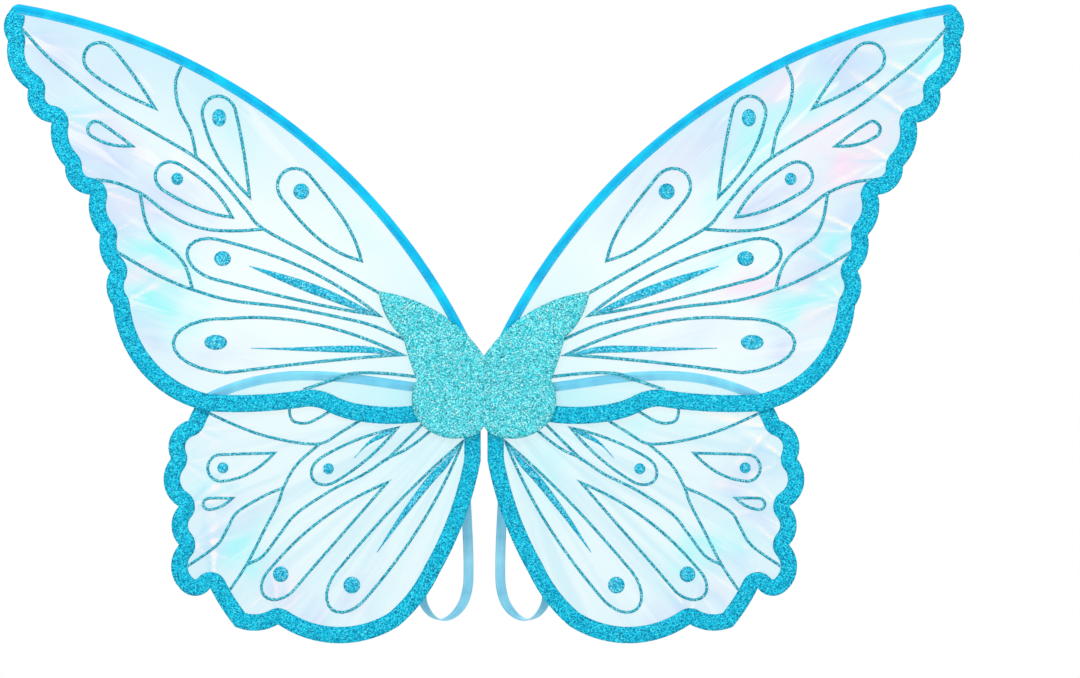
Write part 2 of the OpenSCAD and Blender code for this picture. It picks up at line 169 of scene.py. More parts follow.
ROW_SHARE = 0.87                            # distance of the grid's rows over its spacing
EDGE_SHARE = 0.45                           # a grid point's least distance from an edge, likewise
CDT_UNIT = 1000.0                           # the triangulation works in millimetres


def fill(loops, spacing, edge_step):
    """Triangles that fill the loops, with a staggered grid of inner points."""
    loops = [resample(l, edge_step) for l in loops]
    ring = np.vstack(loops)
    lo, hi = ring.min(0), ring.max(0)
    rows = np.arange(lo[1], hi[1], spacing * ROW_SHARE)
    grid = np.array([(x, z) for k, z in enumerate(rows)
                     for x in np.arange(lo[0] + (k % 2) * spacing / 2, hi[0], spacing)])
    if len(grid):
        grid = grid[inside(grid, loops)]
    if len(grid):
        grid = grid[nearest_edge(grid, loops) > spacing * EDGE_SHARE]
    edges, first = [], 0
    for l in loops:
        edges += [(first + k, first + (k + 1) % len(l)) for k in range(len(l))]
        first += len(l)
    every = np.vstack([ring, grid]) if len(grid) else ring
    found = delaunay_2d_cdt([Vector(p * CDT_UNIT) for p in every], edges, [], 0, 1e-5)
    verts, faces = found[0], found[2]
    verts = np.array([tuple(v) for v in verts]) / CDT_UNIT
    faces = np.array([f for f in faces if len(f) == 3])
    keep = inside(verts[faces].mean(1), loops)
    faces = faces[keep]
    p = verts[faces]
    turned = np.cross(p[:, 1] - p[:, 0], p[:, 2] - p[:, 0]) < 0
    faces[turned] = faces[turned][:, ::-1]
    return verts, faces


# Leading edges, in millimetres, as the CAD source gives them: each is a run of arcs, outer
# end first, as centre, radius, and the angles between which it runs
FORE_EDGE = [((-337.7, -131.2), 367.0, 80.5, 24.5)]
HIND_EDGE = [((-108, -118), 130.0, 116.5, 90.0), ((-108, -248), 260.0, 90.0, 82.0)]
ROOT_X = -2.0
EDGE_STEP = 2.0
ARCS_MEET = 0.1                             # an arc's first point this near the last is left out


def edge_path(wing):
    """Points of a left leading edge and its outward directions, both in X and Z."""
    points, normals = [], []
    for (cx, cz), r, a0, a1 in (FORE_EDGE if wing == "forewing" else HIND_EDGE):
        n = math.ceil(abs(math.radians(a1 - a0)) * r / EDGE_STEP)
        for k in range(n + 1):
            a = math.radians(a0 + (a1 - a0) * k / n)
            out = np.array([math.cos(a), math.sin(a)])
            point = np.array([cx, cz]) + r * out
            if not points or np.linalg.norm(points[-1] - point) > ARCS_MEET:
                points.append(point)
                normals.append(out)
    if wing == "hindwing":
        last, out = points[-1], normals[-1]
        run = (ROOT_X - last[0]) / out[1]
        n = math.ceil(run / EDGE_STEP)
        ahead = np.array([out[1], -out[0]])
        for k in range(1, n + 1):
            points.append(last + ahead * run * k / n)
            normals.append(out)
    return np.array(points) * MM, np.array(normals)


# Ripples ----------------------------------------------------------------------------------------

SHARP_TURN = -16                            # degrees


def valleys(loop):
    """Points where an outline turns sharply inwards, each with its inward direction."""
    if area_of(loop) < 0:
        loop = loop[::-1]
    found = []
    n = len(loop)
    for k in range(n):
        a = loop[k] - loop[k - 1]
        b = loop[(k + 1) % n] - loop[k]
        turn = math.atan2(a[0] * b[1] - a[1] * b[0], a @ b)
        if math.degrees(turn) < SHARP_TURN:
            side = a / np.linalg.norm(a) - b / np.linalg.norm(b)
            inward = side / max(np.linalg.norm(side), 1e-9)
            found.append((loop[k], inward))
    return found


NO_CREASE_WITHIN = 60 * MM                  # of the centre line
CREASE_START = 7 * MM                       # how far inside its valley a crease begins
CREASE_SPREADS = ((-34, -18), (-6, 6), (18, 34))        # degrees, three to each valley
CREASE_SIZES = (0.15, 1.0)                  # least and greatest, over the depth below
CREASE_DEPTH = 0.9                          # mm
CREASE_REACHES = (8, 26)                    # mm over which it fades, least and greatest
CREASE_INWARD, CREASE_HOME = 0.6, 0.4       # shares of its aim: off the edge, and to the root
CREASE_LEAD, CREASE_RISE = 5 * MM, 6 * MM   # how far before its start it rises, and over what
CREASE_WIDTH, CREASE_WIDENS = 1.5 * MM, 0.11    # at its start, and over the length from there
GLINT_WIDTH, GLINT_WIDENS = 1.0 * MM, 0.09      # likewise, of the light it catches
GLINT_REACH = 1.2                           # how much further that light shows than the crease
# The soft ripples: height in mm, and radians for each millimetre out and up
SWELLS = ((0.55, 0.043, 0.027), (0.4, -0.024, 0.071))
CHOP = (0.25, 0.11, 0.09)
CHOP_FADE = 0.05                            # radians for each millimetre up
RIPPLE_FROM, RIPPLE_OVER = 30, 150          # mm out, where they start, and how far they grow
RIPPLE_CURVE = 1.3
HELD_WITHIN = 6 * MM                        # of a wired edge, where the film lies flat
FREE_OVER = 24 * MM                         # past that, how far until it ripples fully
PHASES = 12                                 # drawn for each side, of which four are used


class Ripples:
    """How far the film stands out of its plane, as a function of X and Z."""

    def __init__(self, side):
        self.side = side
        self.phase = RNG.uniform(0, 2 * math.pi, PHASES)
        self.wired = np.vstack([edge_path(wing)[0] for wing in ("forewing", "hindwing")])
        self.wired = self.wired * [-SIDES[side], 1]
        self.creases = []
        for wing in ("forewing", "hindwing"):
            for at, inward in valleys(outline(f"{side}_{wing}_film")):
                if abs(at[0]) < NO_CREASE_WITHIN:
                    continue
                main = CREASE_INWARD * inward - CREASE_HOME * at / np.linalg.norm(at)
                for spread in [RNG.uniform(*limits) for limits in CREASE_SPREADS]:
                    lean = math.radians(spread)
                    d = np.array([main[0] * math.cos(lean) - main[1] * math.sin(lean),
                                  main[0] * math.sin(lean) + main[1] * math.cos(lean)])
                    self.creases.append((at + inward * CREASE_START, d / np.linalg.norm(d),
                                         RNG.uniform(*CREASE_SIZES),
                                         RNG.uniform(*CREASE_REACHES) * MM))

    def near_creases(self, p):
        """For each crease: how far along it and beside it the points are, how far it has risen
        there, its size, and the distance over which it fades."""
        for at, d, size, reach in self.creases:
            r = p - at
            along = r @ d
            start = np.clip((along + CREASE_LEAD) / CREASE_RISE, 0, 1)
            yield np.maximum(along, 0), r[:, 0] * -d[1] + r[:, 1] * d[0], start, size, reach

    def __call__(self, p):
        x, z = p[:, 0] / MM, p[:, 1] / MM
        s = SIDES[self.side]
        u = x * s
        grow = np.clip((u - RIPPLE_FROM) / RIPPLE_OVER, 0, 1) ** RIPPLE_CURVE
        first, second, chop = [height * np.sin(out * u + up * z + phase)
                               for (height, out, up), phase in zip((*SWELLS, CHOP), self.phase)]
        y = (first + second + chop * np.sin(CHOP_FADE * z + self.phase[3])) * grow
        for along, off, start, size, reach in self.near_creases(p):
            width = CREASE_WIDTH + CREASE_WIDENS * along
            on = start * np.exp(-along / reach)
            y += -CREASE_DEPTH * size * on * np.exp(-(off / width) ** 2)
        # the wires hold the film flat along the leading edges
        near = np.array([np.min((self.wired[:, 0] - q[0]) ** 2 + (self.wired[:, 1] - q[1]) ** 2)
                         for q in p]) ** 0.5
        loose = np.clip((near - HELD_WITHIN) / FREE_OVER, 0, 1)
        return y * MM * loose * loose * (3 - 2 * loose)

    def glint(self, p):
        """How strongly each crease shows: below 0 on its one flank, above 0 on the other."""
        total = np.zeros(len(p))
        for along, off, start, size, reach in self.near_creases(p):
            off = off / (GLINT_WIDTH + GLINT_WIDENS * along)
            on = start * np.exp(-along / (GLINT_REACH * reach))
            total += size * on * off * np.exp(1 - off ** 2)
        return total


ripples = {side: Ripples(side) for side in SIDES}


# Where the film's colours gather: X and Z of each patch's middle, its half lengths along and
# across the line out from the root, all in millimetres, and its strength
HUES = ("lilac", "aqua", "pink")
GLOWS = {
    "left": {
        "lilac": [(-232, 137, 30, 22, 0.8), (-192, 113, 36, 16, 0.75), (-258, 203, 22, 12, 0.7),
                  (-220, 106, 14, 14, 0.7), (-200, 34, 13, 13, 0.7), (-176, -23, 12, 9, 0.6),
                  (-109, -133, 14, 10, 0.7), (-154, -83, 20, 9, 0.6), (-74, -127, 14, 10, 0.5),
                  (-160, 20, 30, 10, 0.35), (-228, 186, 18, 10, 0.5), (-128, -118, 16, 6, 0.7),
                  (-160, -66, 18, 6, 0.5)],
        "aqua": [(-192, 51, 22, 13, 1.0), (-200, 82, 24, 10, 0.9), (-145, -94, 15, 11, 0.8),
                 (-135, -106, 12, 6, 0.8), (-242, 165, 14, 8, 0.4), (-150, 150, 30, 10, 0.25),
                 (-170, -60, 14, 8, 0.35), (-70, 94, 30, 8, 0.2)],
        "pink": [(-202, 66, 18, 5, 0.5), (-212, 116, 12, 5, 0.4), (-120, -120, 14, 5, 0.3),
                 (-216, 152, 16, 6, 0.3)]},
    "right": {
        "lilac": [(217, 191, 24, 16, 0.9), (168, 109, 30, 14, 0.8), (194, 97, 20, 13, 0.8),
                  (217, 109, 15, 12, 0.8), (194, 74, 24, 10, 0.9), (130, 147, 30, 16, 0.65),
                  (95, 118, 26, 18, 0.45), (251, 183, 14, 8, 0.7), (176, 29, 14, 12, 0.7),
                  (155, -53, 14, 18, 0.7), (152, -106, 12, 8, 0.7), (113, -133, 14, 10, 0.7),
                  (120, 30, 26, 12, 0.35), (132, -126, 16, 6, 0.6), (160, -76, 16, 7, 0.6)],
        "aqua": [(162, 153, 26, 15, 0.85), (186, 165, 20, 12, 0.7), (265, 198, 12, 10, 0.9),
                 (211, 90, 13, 8, 0.95), (190, 56, 20, 11, 1.0), (137, -94, 18, 10, 0.8),
                 (146, 120, 24, 8, 0.4), (140, 76, 24, 9, 0.45), (39, -53, 18, 9, 0.3),
                 (182, -40, 14, 8, 0.3), (122, -108, 18, 7, 0.7), (100, -20, 24, 7, 0.35)],
        "pink": [(219, 139, 26, 11, 0.95), (201, 150, 20, 9, 0.7), (162, 60, 24, 8, 0.75),
                 (174, 183, 14, 9, 0.6), (232, 160, 16, 7, 0.5), (205, 42, 14, 8, 0.5),
                 (120, 132, 16, 10, 0.35), (104, 52, 20, 8, 0.3), (140, -121, 14, 7, 0.4)]}}


# How their edges waver, in X and in Z: millimetres, and radians for each millimetre of X and Z
WAVER_X = ((5, 0.05, 0.11), (2.5, 0.27, -0.14))
WAVER_Z = ((5, 0.09, -0.04), (2.5, 0.16, 0.24))


def waver(x, z, terms):
    return sum(size * np.sin(in_x * x + in_z * z) for size, in_x, in_z in terms)


def glow(p, spots):
    """How strongly the patches show at each point."""
    x, z = p[:, 0] / MM, p[:, 1] / MM
    x, z = x + waver(x, z, WAVER_X), z + waver(x, z, WAVER_Z)
    total = np.zeros(len(p))
    for cx, cz, along, across, strength in spots:
        d = np.array([cx, cz]) / math.hypot(cx, cz)
        u, v = x - cx, z - cz
        u, v = (u * d[0] + v * d[1]) / along, (v * d[0] - u * d[1]) / across
        total = np.maximum(total, strength * np.exp(-(u ** 2 + v ** 2)))
    return total


# Meshes -----------------------------------------------------------------------------------------

def new_mesh(name, verts, faces):
    mesh = bpy.data.meshes.new(name)
    mesh.from_pydata([tuple(v) for v in verts], [], [tuple(int(i) for i in f) for f in faces])
    mesh.validate()
    mesh.update()
    mesh.polygons.foreach_set("use_smooth", [True] * len(mesh.polygons))
    obj = bpy.data.objects.new(name, mesh)
    bpy.context.scene.collection.objects.link(obj)
    return obj


def two_faced(name, front, back, faces):
    """A closed mesh of a front and a back with the same triangles, joined round their rim."""
    n = len(front)
    rim = [(v, u, u + n, v + n) for u, v in rim_edges(faces)]
    return new_mesh(name, np.vstack([front, back]),
                    [tuple(f) for f in faces] + [tuple(f[::-1] + n) for f in faces] + rim)


RIM_SHARE = 0.35                            # a sheet's thickness at its rim over its middle's
AT_EDGE = 0.02 * MM                         # a point this near an open edge is on it


def layer_sheet(name, loops, y, thick, side, spacing=GRID, edge_step=1.6 * MM, puff=0.0,
                roll=0.0, back_puff=0.0, open_edge=None, looks=False):
    """A closed thin sheet that fills the loops at depth y and follows the wing's ripples.
    puff raises its middle above its edges, over the distance roll from an edge."""
    flat, faces = fill(loops, spacing, edge_step)
    rise = ripples[side](flat)
    if roll:
        far = nearest_edge(flat, loops)
        if open_edge is not None:          # the sheet carries on past this X
            ring = np.vstack([resample(l, edge_step) for l in loops])
            ring = ring[np.abs(ring[:, 0] - open_edge) > edge_step / 2]
            far = np.array([np.min(np.linalg.norm(ring - p, axis=1)) for p in flat])
        t = np.clip(far / roll, 0, 1)
        crown = np.sqrt(np.clip(1 - (1 - t) ** 2, 0, 1))
    else:
        crown = np.ones(len(flat))
    half = thick / 2 * (RIM_SHARE + (1 - RIM_SHARE) * crown)
    front = np.column_stack([flat[:, 0], y + rise - half - puff * crown, flat[:, 1]])
    back = np.column_stack([flat[:, 0], y + rise + half + back_puff * crown, flat[:, 1]])
    obj = two_faced(name, front, back, faces)
    if open_edge is not None:
        at_edge = np.abs(np.tile(flat[:, 0], 2) - open_edge) < AT_EDGE
        for e in obj.data.edges:
            e.use_edge_sharp = bool(at_edge[e.vertices[0]] and at_edge[e.vertices[1]])
    if looks:
        maps = {"glint": ripples[side].glint(flat), "edge": nearest_edge(flat, loops)}
        maps.update({hue: glow(flat, GLOWS[side][hue]) for hue in HUES})
        for key, values in maps.items():
            layer = obj.data.attributes.new(key, "FLOAT", "POINT")
            layer.data.foreach_set("value", np.concatenate([values, values]).astype(np.float32))
    return obj


def mid_y(node):
    lo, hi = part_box(node)
    return (lo.y + hi.y) / 2


def run_along(points):
    """How far along the path each of its points is."""
    steps = np.linalg.norm(np.diff(points, axis=0), axis=1)
    return np.concatenate([[0], np.cumsum(steps)])


def tube(name, centres, frames, profile):
    """A closed tube through the centres, with UVs in metres along and around it. frames are
    pairs of directions, and profile gives points along each of the two."""
    m, k = len(centres), len(profile)
    profile = np.array(profile)
    rings = np.zeros((m, k, 3))
    for i, (c, (across, deep)) in enumerate(zip(centres, frames)):
        rings[i] = c + np.outer(profile[:, 0], across) + np.outer(profile[:, 1], deep)
    faces = [(i * k + j, i * k + (j + 1) % k, (i + 1) * k + (j + 1) % k, (i + 1) * k + j)
             for i in range(m - 1) for j in range(k)]
    caps = [tuple(range(k - 1, -1, -1)), tuple((m - 1) * k + j for j in range(k))]
    obj = new_mesh(name, rings.reshape(-1, 3), faces + caps)
    along = run_along(centres)
    across = np.append(profile[:, 0], profile[0, 0])
    uv = obj.data.uv_layers.new(name="along")
    for f in obj.data.polygons:
        for corner in f.loop_indices:
            v = obj.data.loops[corner].vertex_index
            uv.data[corner].uv = (along[v // k], across[v % k])
    return obj


# Materials --------------------------------------------------------------------------------------

def linear(rgb):
    """sRGB from 0 to 255 as linear colour with alpha."""
    out = []
    for c in rgb:
        c = c / 255
        out.append(c / 12.92 if c <= 0.04045 else ((c + 0.055) / 1.055) ** 2.4)
    return (*out, 1.0)


class Nodes:
    """A short way to build one material's node tree."""

    def __init__(self, name):
        self.mat = bpy.data.materials.new(name)
        self.mat.use_nodes = True
        self.tree = self.mat.node_tree
        self.tree.nodes.clear()
        self.out = self.add("ShaderNodeOutputMaterial")
        self.bsdf = self.add("ShaderNodeBsdfPrincipled")
        self.link(self.bsdf.outputs[0], self.out.inputs["Surface"])
        coords = self.add("ShaderNodeTexCoord")
        self.coord = coords.outputs["Object"]
        self.uv = coords.outputs["UV"]

    def add(self, kind, **values):
        node = self.tree.nodes.new(kind)
        for key, value in values.items():
            setattr(node, key, value)
        return node

    def link(self, a, b):
        self.tree.links.new(a, b)
        return b

    def put(self, socket, value):
        if isinstance(value, bpy.types.NodeSocket):
            self.link(value, socket)
        else:
            socket.default_value = value

    def set(self, **values):
        for key, value in values.items():
            self.put(self.bsdf.inputs[key.replace("_", " ")], value)

    def scaled(self, scale, vector):
        node = self.add("ShaderNodeMapping")
        self.link(vector, node.inputs["Vector"])
        node.inputs["Scale"].default_value = scale
        return node.outputs[0]

    def noise(self, scale, detail=2.0, vector=None, rough=0.5, distort=0.0):
        node = self.add("ShaderNodeTexNoise")
        self.link(vector or self.coord, node.inputs["Vector"])
        node.inputs["Scale"].default_value = scale
        node.inputs["Detail"].default_value = detail
        node.inputs["Roughness"].default_value = rough
        node.inputs["Distortion"].default_value = distort
        return node.outputs["Fac"]

    def cells(self, scale):
        node = self.add("ShaderNodeTexVoronoi")
        self.link(self.coord, node.inputs["Vector"])
        node.inputs["Scale"].default_value = scale
        return node

    def wave(self, scale, vector, direction):
        node = self.add("ShaderNodeTexWave", bands_direction=direction)
        self.link(vector, node.inputs["Vector"])
        node.inputs["Scale"].default_value = scale
        node.inputs["Detail"].default_value = 0.0
        return node.outputs["Fac"]

    def ramp(self, fac, stops):
        node = self.add("ShaderNodeValToRGB")
        self.put(node.inputs[0], fac)
        els = node.color_ramp.elements
        while len(els) < len(stops):
            els.new(0.5)
        for el, (at, colour) in zip(els, stops):
            el.position = at
            el.color = colour if len(colour) == 4 else linear(colour)
        return node.outputs[0]

    def mix(self, fac, a, b, blend="MIX"):
        node = self.add("ShaderNodeMix", data_type="RGBA", blend_type=blend)
        self.put(node.inputs["Factor"], fac)
        # the colour sockets of a Mix node come after its float and vector ones
        self.put(node.inputs[6], a)
        self.put(node.inputs[7], b)
        return node.outputs[2]

    def math(self, op, a, b):
        node = self.add("ShaderNodeMath", operation=op)
        self.put(node.inputs[0], a)
        self.put(node.inputs[1], b)
        return node.outputs[0]

    def bump(self, height, strength, distance):
        node = self.add("ShaderNodeBump")
        node.inputs["Strength"].default_value = strength
        node.inputs["Distance"].default_value = distance
        self.put(node.inputs["Height"], height)
        return node.outputs[0]


def grey(v):
    return (v, v, v, 1.0)


FLAKE_METAL = 0.3
FLASH_AT = 0.97                             # the share of flakes past which they flash
FINE_FLAKES = 1.7                           # how much finer the second layer of flakes is


def glitter(name, dark, mid, light, flash, grain, bump=0.5, shares=(0.05, 0.45, 0.82)):
    """Glitter fabric: each flake has its own tone and tilt. shares says up to which share of
    the flakes the tone is dark, then where it reaches mid and light; the last few flash."""
    m = Nodes(name)
    flakes = m.cells(1 / grain)
    fine = m.cells(FINE_FLAKES / grain)
    pick = m.add("ShaderNodeSeparateColor")
    m.link(flakes.outputs["Color"], pick.inputs[0])
    tones = [(shares[0], dark), (shares[1], mid), (shares[2], light), (FLASH_AT, flash)]
    tone = m.ramp(pick.outputs[0], tones)
    small = m.add("ShaderNodeSeparateColor")
    m.link(fine.outputs["Color"], small.inputs[0])
    both = m.mix(0.22, tone, m.ramp(small.outputs[1], tones))
    slow = m.noise(70, 2)
    shaded = m.mix(m.ramp(slow, [(0.35, grey(0.0)), (0.65, grey(0.4))]), both,
                   m.mix(1.0, both, grey(0.88), "MULTIPLY"))
    edge = m.ramp(flakes.outputs["Distance"], [(0.0, grey(1)), (0.75, grey(0.0))])
    height = m.math("ADD", m.math("MULTIPLY", pick.outputs[1], 1.2), edge)
    m.set(Base_Color=shaded, Metallic=FLAKE_METAL, Specular_IOR_Level=0.12,
          Roughness=m.ramp(pick.outputs[2], [(0.0, grey(0.35)), (1.0, grey(0.65))]),
          Normal=m.bump(height, bump, 0.3 * MM))
    return m.mat


FILM_BODY = 0.10                            # how much of a film's surface isn't see-through
CLEAR = (245, 255, 254)
OUTER = (216, 242, 251)
ROOT = (222, 249, 253)
TINTS = {"lilac": (208, 222, 251), "aqua": (160, 250, 251), "pink": (253, 228, 246)}
GLINT = {"left": (255, 248, 252), "right": (255, 252, 246)}
GLINT_SHADE = (190, 234, 251)               # of a crease's darker flank
PLEAT = (206, 238, 248)                     # of the long pleats, low on the film
PALE_STREAK = (252, 255, 255)
SURFACES = 2                                # of a film, which the light crosses


def film_material(name, side, seed):
    """Pearly clear film. It tints what is behind it, palely, with soft patches of lilac, aqua
    and pink, and glints along its creases."""
    m = Nodes(name)
    parts = m.add("ShaderNodeSeparateXYZ")
    m.link(m.coord, parts.inputs[0])
    out = m.math("MULTIPLY", parts.outputs["X"], SIDES[side])
    angle = m.math("ARCTAN2", parts.outputs["Z"], out)
    length = m.add("ShaderNodeVectorMath", operation="LENGTH")
    m.link(m.coord, length.inputs[0])
    reach = length.outputs["Value"]

    def polar(along, around, shift):
        node = m.add("ShaderNodeCombineXYZ")
        m.put(node.inputs[0], m.math("MULTIPLY", reach, along))
        m.put(node.inputs[1], m.math("MULTIPLY", angle, around))
        node.inputs[2].default_value = seed + shift
        return node.outputs[0]

    def stored(key):
        return m.add("ShaderNodeAttribute", attribute_name=key).outputs["Fac"]

    def times(a, b):
        return m.math("MULTIPLY", a, b)

    grow = m.ramp(reach, [(0.05, grey(0.12)), (0.14, grey(0.3)), (0.24, grey(1.0))])
    rim = m.ramp(stored("edge"), [(0.008, grey(1.0)), (0.06, grey(0.12))])
    base = m.mix(times(grow, rim), linear(CLEAR), linear(OUTER))
    low = m.ramp(m.math("MULTIPLY", parts.outputs["Z"], -1.0), [(0.008, grey(0)), (0.03, grey(1))])
    base = m.mix(times(low, 0.42), base, linear(OUTER))
    base = m.mix(m.ramp(reach, [(0.05, grey(0.85)), (0.11, grey(0.0))]), base, linear(ROOT))
    pleats = m.ramp(m.noise(1.0, 1.5, polar(9, 15, 8.2), 0.5, 0.5),
                    [(0.46, grey(0)), (0.66, grey(0.6))])
    base = m.mix(times(low, pleats), base, linear(PLEAT))
    streaks = m.noise(1.0, 2.5, polar(16, 26, 3.7), 0.55, 0.6)
    vary = m.ramp(streaks, [(0.36, grey(0.45)), (0.6, grey(1.0))])
    for hue in HUES:
        base = m.mix(times(stored(hue), vary), base, linear(TINTS[hue]))
    pale = m.ramp(streaks, [(0.58, grey(0)), (0.68, grey(0.6))])
    base = m.mix(times(pale, grow), base, linear(PALE_STREAK))
    glint = stored("glint")
    base = m.mix(m.ramp(glint, [(0.12, grey(0)), (0.6, grey(0.6))]), base,
                 linear(GLINT_SHADE))
    base = m.mix(m.ramp(times(glint, -1.0), [(0.1, grey(0)), (0.55, grey(0.85))]), base,
                 linear(GLINT[side]))
    single = m.add("ShaderNodeGamma")
    m.link(base, single.inputs[0])
    single.inputs[1].default_value = 1 / SURFACES
    m.set(Base_Color=base, Roughness=0.22,
          Normal=m.bump(m.noise(1.0, 3.0, polar(60, 36, 1.1)), 0.2, 0.6 * MM))
    clear = m.add("ShaderNodeBsdfTransparent")
    m.link(single.outputs[0], clear.inputs[0])
    share = m.add("ShaderNodeMixShader")
    share.inputs[0].default_value = FILM_BODY
    m.link(clear.outputs[0], share.inputs[1])
    m.link(m.bsdf.outputs[0], share.inputs[2])
    m.link(share.outputs[0], m.out.inputs["Surface"])
    return m.mat


WAVE_UNIT = 0.314                           # a wave texture's period at scale 1
SATIN_LINES = 0.9 * MM                      # from one of a ribbon's lines to the next
SATIN_GROOVE = 0.12                         # how strongly they show
FINE_BUMP = 0.12 * MM                       # height of threads and of a grain


def satin(name, base, light, dark, period, groove):
    """Satin ribbon or elastic: lines along its length, drawn-out streaks and a soft sheen."""
    m = Nodes(name)
    long = m.scaled((40, 420, 1), m.uv)
    streak = m.noise(1.0, 3.0, long, 0.55, 0.4)
    # slow changes of tone along the ribbon: partly random tone, partly painted shade standing in
    # for soft folds
    slow = m.noise(1.0, 2.0, m.scaled((62, 40, 1), m.uv), 0.5, 0.6)
    lines = m.wave(WAVE_UNIT / period, m.uv, "Y")
    tone = m.ramp(m.math("ADD", m.math("MULTIPLY", streak, 0.45), m.math("MULTIPLY", slow, 0.55)),
                  [(0.34, dark), (0.5, base), (0.66, light)])
    tone = m.mix(m.math("MULTIPLY", lines, groove), tone, m.mix(1.0, tone, grey(0.55), "MULTIPLY"))
    m.set(Base_Color=tone, Roughness=0.38, Specular_IOR_Level=0.14, Sheen_Weight=0.06,
          Sheen_Roughness=0.4, Normal=m.bump(m.math("ADD", lines, streak), groove, FINE_BUMP))
    return m.mat


def plain(name, colour, rough=0.5, metal=0.0, scale=400, spread=0.12):
    """Thread, foam, moulded or metal parts: a fine grain over one colour."""
    m = Nodes(name)
    grain = m.noise(scale, 3.0)
    tone = m.mix(m.ramp(grain, [(0.3, grey(0.0)), (0.7, grey(1.0))]), linear(colour),
                 linear([c * (1 - spread) for c in colour]))
    m.set(Base_Color=tone, Roughness=rough, Metallic=metal,
          Normal=m.bump(grain, 0.25, FINE_BUMP))
    return m.mat


BORDER = glitter("border_glitter", (0, 96, 142), (0, 186, 228), (28, 226, 252),
                 (96, 244, 255), 0.6 * MM, shares=(0.1, 0.48, 0.84))
VEIN = glitter("vein_glitter", (0, 108, 140), (24, 166, 196), (84, 220, 236),
               (190, 250, 252), 0.6 * MM)
SPOT = glitter("spot_glitter", (0, 112, 156), (0, 188, 228), (60, 226, 252),
               (190, 250, 255), 0.6 * MM)
PATCH = glitter("patch_glitter", (0, 98, 118), (22, 208, 226), (88, 250, 255),
                (230, 255, 255), 0.5 * MM, bump=0.35, shares=(0.08, 0.44, 0.76))
FILM = {side: film_material(f"film_{side}", side, seed)
        for side, seed in (("left", 2.4), ("right", 9.1))}
RIBBON = satin("ribbon_cyan", (0, 188, 236), (4, 212, 248), (0, 164, 222), SATIN_LINES,
               SATIN_GROOVE)
PALE_RIBBON = satin("ribbon_pale", (82, 214, 248), (118, 232, 252), (56, 192, 238), SATIN_LINES,
                    SATIN_GROOVE)
ELASTIC = satin("elastic_ribbed", (138, 214, 240), (156, 226, 248), (112, 192, 226),
                1.05 * MM, 0.42)
PAD = plain("pad_satin", (104, 204, 230), 0.42, 0.0, 900, 0.08)
THREAD = plain("thread", (120, 208, 238), 0.7)
WIRE = plain("wire_steel", (176, 178, 182), 0.3, 1.0, 900, 0.2)
CAP = plain("cap_plastic", (236, 236, 238), 0.45)
STAY = plain("stay_plastic", (232, 236, 238), 0.5)
FOAM = plain("foam", (240, 240, 232), 0.95)


def dress(obj, mat, body, slot_name, *stands_for):
    obj.data.materials.append(mat)
    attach(obj, body)
    if stands_for:
        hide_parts(*stands_for)
    return obj


def repaint(node, mat):
    """A CAD node keeps its shape and gets a better material."""
    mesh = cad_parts[node].data
    mesh.materials.clear()
    mesh.materials.append(mat)


# Half of a ribbon's section: how far in from the outer edge, and how far out of the plane.
# The wire makes the outer part round, and a stitched groove runs near the inner edge.
RIBBON_HALF = [(0.0, 0.0), (0.25, 0.95), (0.85, 1.42), (1.7, 1.58), (2.6, 1.45), (3.3, 1.05),
               (3.9, 0.82), (4.5, 0.78), (4.72, 0.60), (4.94, 0.78), (5.5, 0.74), (5.75, 0.5)]
STITCH_IN = 4.72
# The rings past a ribbon's outer end, in millimetres on and in, and their section's scales
TUCK = [(4.4, 3.0, 0.35, 0.5), (3.6, 1.9, 0.52, 0.78), (2.6, 1.0, 0.7, 0.92),
        (1.6, 0.4, 0.84, 1.0), (0.8, 0.1, 0.94, 1.0)]
STITCH_DEPTH = 0.72 * MM                    # of a stitch's ends, from the ribbon's middle plane
STITCH_PITCH, STITCH_LENGTH = 3.2 * MM, 2.1 * MM
STITCH_HALF, STITCH_RISE = 0.17 * MM, 0.16      # half its width, and its height in mm


def ribbon(side, wing):
    """The ribbon over a wing's wire, with its stitches. Its outer end narrows and bends down
    round the corner of the border."""
    node = f"{side}_{wing}_casing"
    s = SIDES[side]
    points, normals = edge_path(wing)
    points = points * [-s, 1]
    normals = normals * [-s, 1]
    rise = ripples[side](points)
    y = mid_y(node)
    centres = np.column_stack([points[:, 0], y + rise, points[:, 1]])
    frames = [(np.array([n[0], 0, n[1]]), np.array([0, 1.0, 0])) for n in normals]
    seams = stitches(f"{side}_{wing}_ribbon_stitches", centres, frames, -STITCH_IN * MM,
                     STITCH_DEPTH)
    dress(seams, THREAD, f"{side}_wing", "thread")
    ahead = centres[0] - centres[1]
    ahead /= np.linalg.norm(ahead)
    out = frames[0][0]
    past = [centres[0] + (ahead * on - out * down) * MM for on, down, _, _ in TUCK]
    centres = np.vstack([past, centres])
    frames = [(out * wide, frames[0][1] * deep) for _, _, wide, deep in TUCK] + frames
    front = [(-a * MM, -b * MM) for a, b in RIBBON_HALF]
    back = [(-a * MM, b * MM) for a, b in RIBBON_HALF[:0:-1]]
    obj = tube(f"{side}_{wing}_ribbon", centres, frames, front + back)
    mat = RIBBON if wing == "forewing" else PALE_RIBBON
    dress(obj, mat, f"{side}_wing", "satin_ribbon" if wing == "forewing" else "pale_ribbon", node)
    return obj, seams


